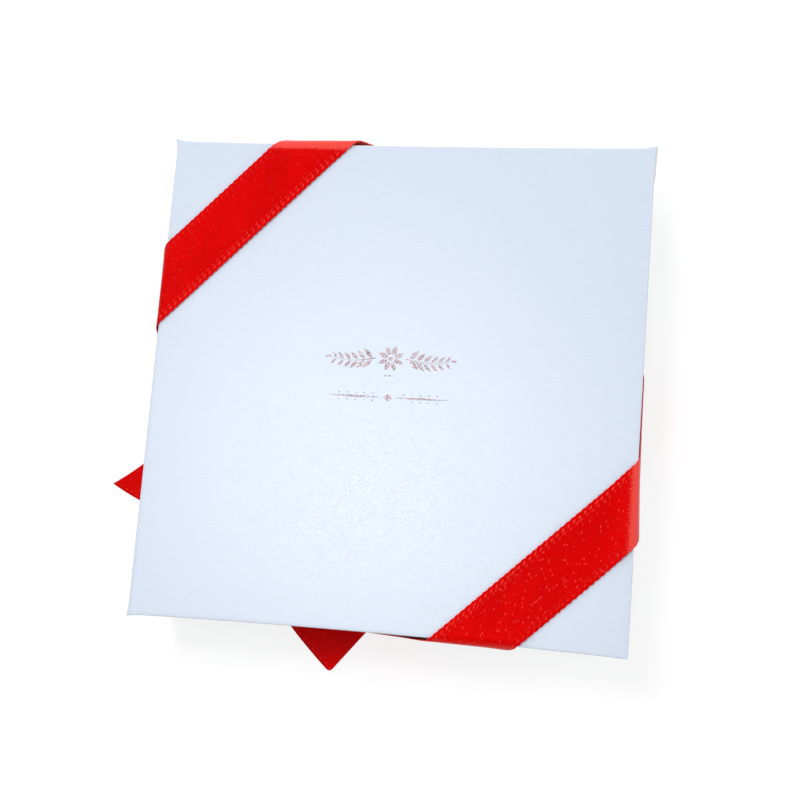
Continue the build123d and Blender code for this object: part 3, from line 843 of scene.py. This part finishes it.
# Foil ornament on the lid's middle
def ornament():
    """Garland, small beads and a tapered rule with a lozenge, pressed in foil."""
    garland_y, garland_start, garland_length = 6.85, 4.2, 12.6
    beads_y, rule_y = 2.1, -3.7
    points, faces = [], []

    def patch(outline, thick=0.035):
        start, count = len(points), len(outline)
        for z in (-0.06, thick):
            for x, y in outline:
                level = box_height - panel_sag * (1 - (hypot(x, y) / lid_half) ** 2) ** 2
                points.append((x, y, level + z))
        faces.append(range(start, start + count)[::-1])
        faces.append(range(start + count, start + 2 * count))
        for i in range(count):
            j = (i + 1) % count
            faces.append((start + i, start + j, start + count + j, start + count + i))

    def leaf(x, y, angle, length, width):
        u = np.arange(9) / 8
        rise = width * np.sin(pi * u**0.8) / 2
        along, across = np.append(u, u[7:0:-1]) * length, np.append(rise, -rise[7:0:-1])
        patch(columns(*rotated(along, across, angle)) + (x, y))

    def bead(x, y, radius):
        patch(ring(radius, turns(14), 0)[:, :2] + (x, y))

    def on_stem(u):
        return garland_start + garland_length * u, garland_y - 0.9 * np.sin(pi * u)

    bead(0.0, garland_y, 0.62)
    for angle in turns(8) + pi / 8:
        leaf(cos(angle) * 0.95, garland_y + sin(angle) * 0.95, angle, 2.7, 1.25)
    for side in (-1, 1):
        outward = 0.0 if side > 0 else pi
        x, y = on_stem(np.linspace(0, 1, 15))
        lift = 0.16 * (1 - np.arange(15) / 16)
        patch(np.vstack([columns(side * x, y - lift), columns(side * x, y + lift)[::-1]])[::side])
        for pair in range(6):
            x, y = on_stem(0.07 + pair * 0.155)
            size = 1 - 0.08 * pair
            for lean in (-1, 1):
                leaf(side * (x + 0.1), y + lean * 0.28, outward + side * lean * 0.78, 3.3 * size, 1.15 * size)
        leaf(side * 16.4, garland_y - 0.02, outward, 1.6, 0.7)
        leaf(side * 1.9, rule_y, outward, 14.8, 0.52)
        for number in range(5):
            for rise in (0.95, -0.95):
                bead(side * (4.2 + number * 2.3), rule_y + rise, 0.2)
    for number in (-1, 0, 1):
        bead(number * 1.15, beads_y, 0.24 if number else 0.34)
    patch([(-1.25, rule_y), (0, rule_y - 1.05), (1.25, rule_y), (0, rule_y + 1.05)])
    make("lid_foil_ornament", points, faces, foil, "lid", smooth=False)


ornament()


# Cushion pad
def cushion_pad():
    """Quilted paper pad: rows of pillows with pressed channels, and a thin sealed border."""
    line = np.linspace(-1, 1, pad_rows * pillow_steps + 1)
    grid = np.stack(np.meshgrid(line, line))
    # The corners are rounded
    straight = pad_half - pad_corner
    past = abs(grid) * pad_half - straight
    drawn = np.where(past.min(axis=0) > 0, past.max(axis=0) / np.hypot(*past), 1.0)
    x, y = np.copysign(straight + past * drawn, grid)
    rows = (grid + 1) / 2 * pad_rows
    a, b = np.floor(np.minimum(rows, pad_rows - 0.01))
    # No two pillows are filled alike
    swell = abs(np.sin(pi * rows)).prod(axis=0) ** 0.42
    swell = swell * np.minimum(1.0, 0.85 + 0.3 * rough(columns(a * 3.7, b * 2.9, 0.5)))
    wrinkle = 0.09 * rough(columns(x * 0.55, y * 0.55, 3.0)) * (1 - swell)
    upper = columns(x, y, pad_low + 0.75 + (pad_thick - 0.8) * swell + wrinkle)
    lower = columns(x, y, pad_low + 0.45 * (1 - swell) + wrinkle * 0.5)
    piece = make("cushion_pad_quilted", *sheet_body(upper, lower), pad_paper, "pad", "pad_paper",
                 ["cushion_pad"], sharp=80)


cushion_pad()


# Paper cups and chocolates, each made round the origin and put down in its cell
def put_down(name, shape, node_name, z, body, material, slot, stands_for=False, sharp=40):
    """A piece from points and faces round the origin, put down at a height in the middle of a node's box."""
    points, faces = shape
    low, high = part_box(node_name)
    place = ((low.x + high.x) / 2 / MM, (low.y + high.y) / 2 / MM, z)
    make(name, points + place, faces, material, body, slot, [node_name] if stands_for else (), sharp=sharp)


def paper_cup(seed):
    """A pleated cup with a slightly uneven rim."""
    angles = turns(cup_pleats * 10)
    sway = rough(ring(1.6, angles, seed)) * 0.35
    wave = signed_power(np.cos(cup_pleats * angles + sway), 0.75)
    torn = 0.22 * rough(ring(3.0, angles, seed + 5)) - 0.2

    def pleated(share, inset, lift):
        radius = cup_foot + (cup_rim - cup_foot) * share
        depth = 0.86 * radius / cup_rim * min(1.0, 0.25 + share * 4)
        z = cup_height * share + lift + torn * (share > 0.95)
        return ring(radius + depth / 2 * wave - inset - 0.05, angles, z)

    levels = (0.0, 0.04, 0.12, 0.3, 0.5, 0.7, 0.88, 1.0)
    foot_shares = (0.35, 0.7, 0.92)
    rings = [(0, 0, 0)] + [ring(cup_foot * share, angles, 0) for share in foot_shares]
    rings += [pleated(share, 0.0, 0.0) for share in levels]
    rings += [pleated(share, cup_sheet, cup_sheet * (share < 0.05)) for share in levels[::-1]]
    rings += [ring(cup_foot * share, angles, cup_sheet) for share in foot_shares[::-1]]
    return skin(rings + [(0, 0, cup_sheet)])


for row in range(1, cell_rows + 1):
    for column in range(1, cell_rows + 1):
        put_down(f"cup_row{row}_{column}_pleated", paper_cup(row * 5.0 + column),
                 f"paper_cup_row{row}_{column}", liner_top + 0.02, "base", cup_paper, "cup_paper", True, 60)


def lathe(levels, outline, count, relief=lambda x, y, share: 0.0):
    """A body over an outline: levels of share and height, and a relief over its panel."""
    angles = turns(count)
    border = np.array([outline(angle) for angle in angles])
    rings = [(0, 0, levels[0][1])]
    for share, z in levels:
        level = ring(border * share, angles, z)
        level[:, 2] += relief(level[:, 0], level[:, 1], share)
        rings.append(level)
    return skin(rings + [(0, 0, levels[-1][1] + relief(0.0, 0.0, 0.0))])


def panel_levels(height, edge, draft, crown, reach, fine):
    """Levels of a moulded piece: foot, drafted wall, rounded upper edge and crowned panel."""
    found = [(0.5, 0.0), (0.97, 0.0), (1.0, 0.25)]
    found += [(1 - draft * u, 0.25 + (height - edge - 0.25) * u) for u in (0.2, 0.45, 0.7, 0.9)]
    found += [(1 - draft - edge / reach * (1 - cos(a)), height - edge + edge * sin(a) - crown * 0.02)
              for a in np.radians(range(0, 91, 15))]
    inner = found[-1][0]
    return found + [(inner * u, height - crown * 0.02 + crown * (1 - u * u))
                    for u in 1 - np.arange(1, fine) / fine]


def fade(share, border, steepness):
    """1 well inside a panel and 0 from its border outward."""
    return min(1.0, max(0.0, (border - share) * steepness))


def groove(place, width, depth):
    """The relief of a groove all round a panel."""
    return lambda x, y, share: -depth * exp(-((share - place) / width) ** 2)


dome_height, dome_foot = 13.4, 2.4
dome_ball = (sweet_reach**2 + (dome_height - dome_foot) ** 2) / (2 * (dome_height - dome_foot))
dome_middle = dome_height - dome_ball


def dome(n):
    foot_angle = asin((dome_foot - dome_middle) / dome_ball)
    levels = [(0.5, 0.0), (0.96, 0.0), (1.0, 0.3), (1.0, dome_foot * 0.6), (0.997, dome_foot)]
    levels += [(dome_ball * cos(a) / sweet_reach, dome_middle + dome_ball * sin(a))
               for a in np.linspace(foot_angle, pi / 2, 23)[1:-1]]
    return lathe(levels, lambda angle: sweet_reach, 64)


def drizzle(n):
    """Round strands of white chocolate over a dome, thinner towards their ends."""
    points, faces = np.zeros((0, 3)), []
    u = np.linspace(-1, 1, 41)
    for number in range(-3, 4):
        x, y = rotated(u * 8.6, number * 2.0 + 0.5 * np.sin(u * 3 + number), 0.5 + n)
        line = columns(x, y, dome_middle + np.sqrt(dome_ball**2 - x * x - y * y) - 0.12)
        line = line[np.hypot(x, y) < sweet_reach * 0.86]
        side = unit(np.cross(tangents(line), up))
        over = np.cross(side, tangents(line))
        radii = 0.34 * (1 - 0.6 * np.linspace(-1, 1, len(line)) ** 4)
        rings = [[p + r * (s * cos(angle) + o * sin(angle)) for angle in turns(8)]
                 for p, r, s, o in zip(line, radii, side, over)]
        strand, strand_faces = skin([line[0]] + rings + [line[-1]])
        faces += [tuple(i + len(points) for i in face) for face in strand_faces]
        points = np.vstack([points, strand])
    return points, faces


def heart(n):
    lobe, spread, height = 5.7, 10.2, 10.8
    lobe_x = spread / 2
    lobe_y = sqrt((sweet_reach - lobe) ** 2 - lobe_x**2)
    tip_y = -sweet_reach
    # Where the straight side that leaves the tip touches the lobe
    distance = hypot(lobe_x, lobe_y - tip_y)
    tangent = sqrt(distance**2 - lobe**2)
    lean = atan2(lobe_y - tip_y, lobe_x) - asin(lobe / distance)
    touch_x, touch_y = tangent * cos(lean), tip_y + tangent * sin(lean)

    def inside(x, y):
        if hypot(x - lobe_x, y - lobe_y) < lobe:
            return True
        if tip_y < y < touch_y:
            return x < (y - tip_y) / (touch_y - tip_y) * touch_x
        return touch_y <= y < lobe_y and x < lobe_x

    def outline(angle):
        """Distance to the heart's border in a direction, found by halving."""
        low, high = 0.0, sweet_reach
        for _ in range(22):
            r = (low + high) / 2
            low, high = (r, high) if inside(abs(r * cos(angle)), r * sin(angle)) else (low, r)
        return max(low, 1.0)

    return lathe(panel_levels(height, 1.5, 0.03, 0.5, 9.5, 18), outline, 96, groove(0.62, 0.05, 0.35))


def square(n):
    corner, height = 4.4, 11.8
    half = corner + (sweet_reach - corner) / sqrt(2)
    flat = half - corner

    def outline(angle):
        c, s = abs(cos(angle)), abs(sin(angle))
        straight = half / max(c, s)
        if min(straight * c, straight * s) <= flat:
            return straight
        b = flat * (c + s)
        return b + sqrt(b * b - 2 * flat * flat + corner * corner)

    def relief(x, y, share):
        return -0.45 * np.maximum(0.0, 1 - abs(np.sin((x + y) * 0.62)) * 3.2) * fade(share, 0.8, 12)

    return lathe(panel_levels(height, 1.2, 0.04, 0.25, half, 26), outline, 120, relief)


def swirl(n):
    """A piped swirl, whose ridge climbs it in a few turns."""
    height, climb, steps = 14.2, 3.1, 64
    angles = turns(96)
    rings = [(0, 0, 0)]
    for u in np.arange(steps) / steps:
        envelope = sweet_reach * (1 - u) ** 0.78 * 0.98
        ridge = abs(np.cos(pi * (u * climb - angles / (2 * pi)))) ** 0.6
        flutes = 1 + 0.03 * np.cos(7 * angles + 9 * u)
        radius = envelope * (0.8 + 0.2 * ridge) * flutes if u > 0.02 else envelope * 0.93
        rings.append(ring(np.minimum(radius, sweet_reach), angles, height * u))
    return skin(rings + [(0, 0, height)])


def truffle(n):
    """A hand-rolled ball, rough with cocoa."""
    height, seat = 14.4, 6.6
    dip = acos(seat / sweet_reach)
    above = height / (1 + sin(dip))
    below = height - above
    rings = [(0, 0, 0)]
    for a in np.linspace(-dip, pi / 2, 41)[1:-1]:
        z = below + (above if a > 0 else below / sin(dip)) * sin(a)
        points = ring((sweet_reach - 0.3) * cos(a), turns(72), z)
        lumps = rough(points * 0.42 + (n * 7, 0, 0)) * 0.45 + rough(points * 1.3) * 0.22 - 0.25
        points += unit((points - up * below) * (1, 1, 0.8)) * lumps[:, None]
        points[:, 2] = np.maximum(0.0, points[:, 2])
        rings.append(points)
    return skin(rings + [(0, 0, height - 0.3)])


def log(n):
    half_width, height, lean = 6.8, 12.2, pi / 4
    flat = sweet_reach - half_width

    def outline(angle):
        c, s = abs(cos(angle - lean)), abs(sin(angle - lean))
        if s > 1e-6 and half_width / s * c <= flat:
            return half_width / s
        return flat * c + sqrt(max(0.0, half_width**2 - (flat * s) ** 2))

    def relief(x, y, share):
        a, b = rotated(x, y, -lean)
        waves = np.sin(a * 2.1 + 0.9 * np.sin(b * 0.5)) * fade(share, 0.93, 6)
        return 0.28 * (waves - (share <= 0.93))

    return lathe(panel_levels(height, 2.6, 0.02, 0.6, half_width, 24), outline, 120, relief)


hexagon_height = 11.2


def hexagon(n):
    def outline(angle):
        # Straight sides between corners at every sixty degrees, softened at the corners
        turn = abs((angle + pi / 6) % (pi / 3) - pi / 6)
        return min(sweet_reach * cos(pi / 6) / cos(pi / 6 - turn), sweet_reach - 0.35 + turn * 0.6)

    levels = panel_levels(hexagon_height, 0.7, 0.18, 0.15, 9.5, 22)
    return lathe(levels, outline, 108, groove(0.6, 0.045, 0.4))


def hazelnut(n):
    """A roast nut pressed into a hexagon's top."""
    middle_z = hexagon_height - 0.75
    t = turns(36)
    rings = [(0, 0, middle_z - 2.0)]
    for a in np.linspace(-pi / 2, pi / 2, 19)[1:-1]:
        z = middle_z + 2.0 * sin(a) + 0.1 * rough(columns(a * 3, t * 2, n))
        x, y = 3.1 * cos(a) * np.cos(t) * (1 + 0.05 * np.cos(3 * t)), 3.3 * cos(a) * np.sin(t)
        rings.append(columns(x, y, z))
    return skin(rings + [(0, 0, middle_z + 2.0)])


def fluted(n):
    height, flutes, depth = 11.4, 16, 1.0
    levels = [(0.5, 0.0), (0.85, 0.0), (0.862, 0.3)]
    levels += [(0.862 + 0.128 * u, 0.3 + (height - 0.7) * u) for u in (0.2, 0.4, 0.6, 0.8, 0.95)]
    levels += [(0.99, height - 0.25), (0.975, height), (0.93, height), (0.89, height - 0.2)]
    levels += [(0.87, height - 0.9)]
    levels += [(0.86 - 0.86 * u, height - 1.0 + 0.7 * (1 - (1 - u) ** 2))
               for u in np.linspace(0.04, 0.97, 20)]

    def outline(angle):
        return sweet_reach - depth * (1 - abs(cos(flutes * angle / 2)) ** 0.7)

    def relief(x, y, share):
        return 0.16 * np.cos(3 * np.arctan2(y, x) + share * 12) * min(1.0, share * 4) * fade(share, 0.82, 8)

    return lathe(levels, outline, 160, relief)


# Each kind's maker, material, slot and angle of its sharp edges, and what some carry on top
sweets = (
    (dome, dark, "dark_chocolate", 40),
    (heart, milk, "milk_chocolate", 55),
    (square, dark, "dark_chocolate", 55),
    (swirl, white, "white_chocolate", 70),
    (truffle, cocoa, "cocoa_chocolate", 80),
    (log, milk, "milk_chocolate", 60),
    (hexagon, milk, "milk_chocolate", 45),
    (fluted, dark, "dark_chocolate", 50),
)
toppings = {dome: (drizzle, white, "white_chocolate"), hexagon: (hazelnut, nut, "milk_chocolate")}
for sweet, material, slot, sharp in sweets:
    for n in (1, 2):
        name = f"sweet_{sweet.__name__}_{n}"
        place = (f"chocolate_{sweet.__name__}_{n}", sweet_z, "chocolates")
        put_down(name, sweet(n), *place, material, slot, True, sharp)
        if sweet in toppings:
            topping, *finish = toppings[sweet]
            put_down(f"{name}_{topping.__name__}", topping(n), *place, *finish)

# Liner and dividers keep their solids
for name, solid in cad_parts.items():
    if name == "base_liner" or name.startswith("divider"):
        solid.data.materials.clear()
        solid.data.materials.append(liner_paper if name == "base_liner" else divider_card)
